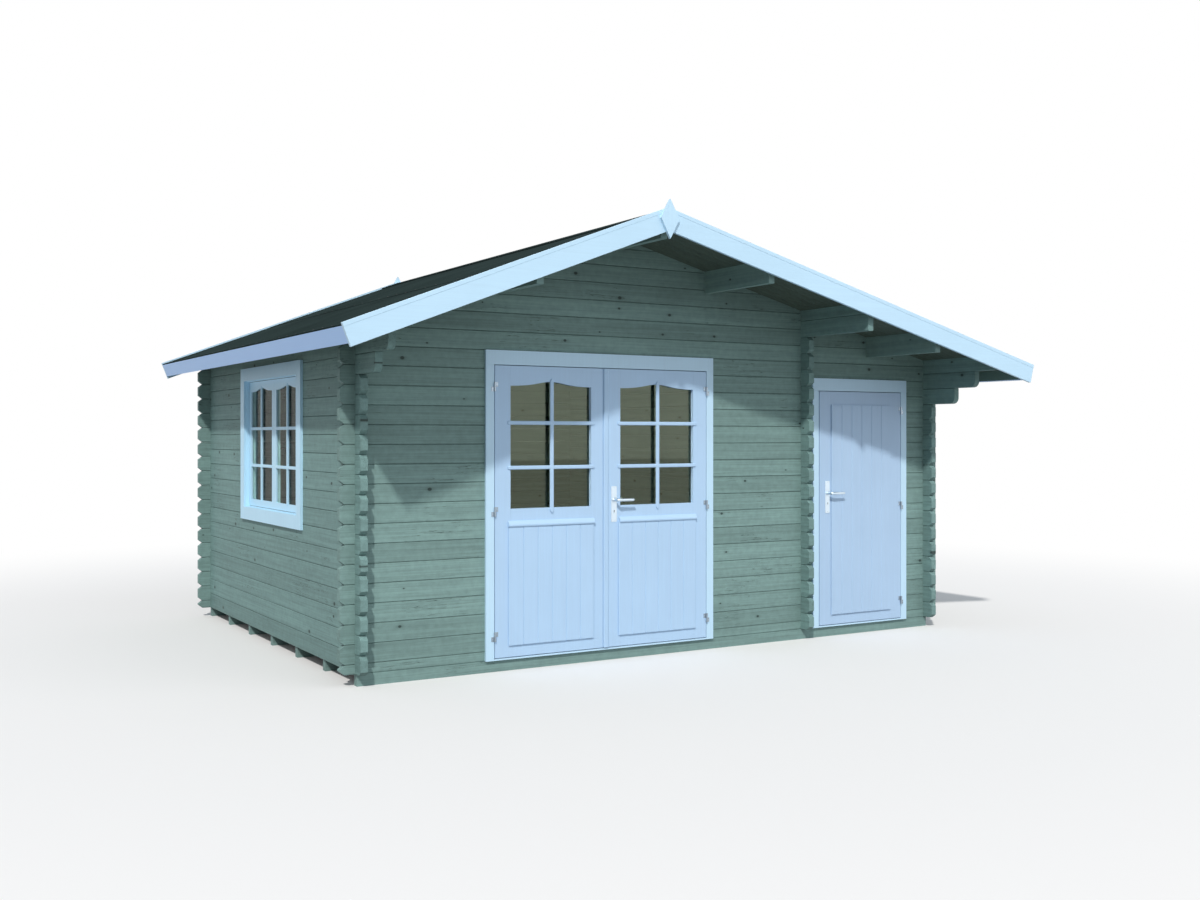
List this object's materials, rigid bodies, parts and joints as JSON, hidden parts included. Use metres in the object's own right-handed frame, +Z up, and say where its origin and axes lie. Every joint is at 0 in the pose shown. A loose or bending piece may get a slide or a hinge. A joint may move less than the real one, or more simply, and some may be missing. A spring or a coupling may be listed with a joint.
{
  "type": "garden shed",
  "caption": "Log-cabin garden shed with stacked crossing logs, an offset gable roof with a deep front overhang, a glazed double door, a boarded store door and a side window",
  "frame": {"origin": "centre of the wall outline at ground level, under the middle floor bearer", "axes": "+X to the right seen from the front, +Y from the front to the back, +Z up"},
  "size_m": [5.16, 4.242, 2.8216],
  "materials": {
    "log_stain": "grey-green stain",
    "floor_wood": "bare softwood",
    "roofing": "mineral felt",
    "trim_paint": "pale blue paint",
    "glazing": "clear",
    "satin_steel": "satin"
  },
  "bodies": {
    "cabin": {"left_wall": "log_stain", "right_wall": "log_stain", "partition_wall": "log_stain", "front_wall_left": "log_stain", "front_wall_middle": "log_stain", "front_wall_right": "log_stain", "front_wall_gable": "log_stain", "back_wall": "log_stain", "floor_bearers": "log_stain", "ridge_purlin": "log_stain", "wall_purlins": "log_stain", "roof_boards_left": "log_stain", "roof_boards_right": "log_stain", "floor_boards": "floor_wood", "roofing_left": "roofing", "roofing_right": "roofing", "front_bargeboard_left": "trim_paint", "front_bargeboard_right": "trim_paint", "back_bargeboard_left": "trim_paint", "back_bargeboard_right": "trim_paint", "edge_battens_left": "trim_paint", "edge_battens_right": "trim_paint", "eave_fascias": "trim_paint", "ridge_finials": "trim_paint", "double_door_casing": "trim_paint", "double_door_frame": "trim_paint", "store_door_casing": "trim_paint", "store_door_frame": "trim_paint", "window_casing": "trim_paint", "window_frame": "trim_paint", "window_sashes": "trim_paint", "window_glass": "glazing", "casing_hinges": "satin_steel"},
    "left_leaf": {"left_leaf_frame": "trim_paint", "left_leaf_panel": "trim_paint", "left_leaf_glass": "glazing", "left_leaf_hinges": "satin_steel"},
    "right_leaf": {"right_leaf_frame": "trim_paint", "meeting_strip": "trim_paint", "right_leaf_panel": "trim_paint", "right_leaf_glass": "glazing", "right_leaf_hinges": "satin_steel", "right_leaf_handle_plates": "satin_steel"},
    "store_leaf": {"store_leaf_frame": "trim_paint", "store_leaf_panel": "trim_paint", "store_leaf_hinges": "satin_steel", "store_leaf_handle_plates": "satin_steel"},
    "double_door_lever": {"right_leaf_lever": "satin_steel"},
    "store_door_lever": {"store_leaf_lever": "satin_steel"}
  },
  "joints": [
    {"name": "left_leaf_swing", "type": "hinge", "parent": "cabin", "child": "left_leaf", "pos_m": [-1.3795, -1.6875, 0.07], "axis": [0, 0, -1], "range_deg": [0, 165]},
    {"name": "right_leaf_swing", "type": "hinge", "parent": "cabin", "child": "right_leaf", "pos_m": [0.1935, -1.6875, 0.07], "axis": [0, 0, 1], "range_deg": [0, 165]},
    {"name": "store_leaf_swing", "type": "hinge", "parent": "cabin", "child": "store_leaf", "pos_m": [1.9665, -1.6875, 0.07], "axis": [0, 0, 1], "range_deg": [0, 110]},
    {"name": "double_door_lever_turn", "type": "hinge", "parent": "right_leaf", "child": "double_door_lever", "pos_m": [-0.5325, -1.6805, 1.022], "axis": [0, 1, 0], "range_deg": [0, 40], "stiffness_Nm_per_rad": 1.5, "springref_deg": -22.92},
    {"name": "store_door_lever_turn", "type": "hinge", "parent": "store_leaf", "child": "store_door_lever", "pos_m": [1.254, -1.6805, 1.022], "axis": [0, 1, 0], "range_deg": [0, 40], "stiffness_Nm_per_rad": 1.5, "springref_deg": -22.92}
  ]
}
